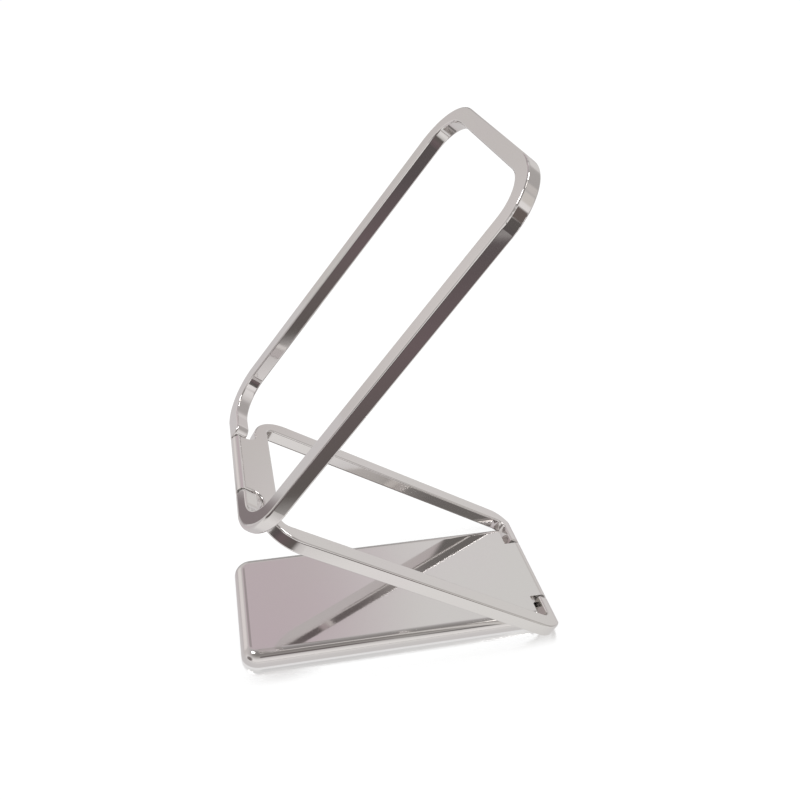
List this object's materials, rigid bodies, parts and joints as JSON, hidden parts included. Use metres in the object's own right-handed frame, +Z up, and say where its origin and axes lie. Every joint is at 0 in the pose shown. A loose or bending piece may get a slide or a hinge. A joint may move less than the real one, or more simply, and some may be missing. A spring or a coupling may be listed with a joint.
{
  "type": "phone stand",
  "caption": "Flat-folding polished metal phone stand: a base plate and nested rounded frames joined by friction hinges, opening into a zigzag support.",
  "frame": {"origin": "on the face the stand rests on, under the middle of the base plate with its tongue", "axes": "+X along the base towards the lower hinge, +Y along both hinge pins, +Z up"},
  "size_m": [0.0714, 0.054, 0.1092],
  "materials": {
    "polished_metal": "mirror-polished plating",
    "pin_steel": "ground",
    "washer_steel": "dark spring steel",
    "pad": "matt non-slip"
  },
  "bodies": {
    "base": {"base_plate": "polished_metal", "base_pad": "pad", "lower_hinge_pin": "pin_steel", "lower_front_washer": "washer_steel", "lower_back_washer": "washer_steel"},
    "middle": {"middle_frame": "polished_metal", "upper_hinge_pin": "pin_steel", "upper_front_washer": "washer_steel", "upper_back_washer": "washer_steel"},
    "upper": {"upper_frame": "polished_metal"}
  },
  "joints": [
    {"name": "lower_hinge", "type": "hinge", "parent": "base", "child": "middle", "pos_m": [0.03417, 0, 0.0017], "axis": [0, 1, 0], "range_deg": [-31.1, 96.9]},
    {"name": "upper_hinge", "type": "hinge", "parent": "middle", "child": "upper", "pos_m": [-0.0321, 0, 0.04168], "axis": [0, -1, 0], "range_deg": [-83.6, 96.4]}
  ]
}
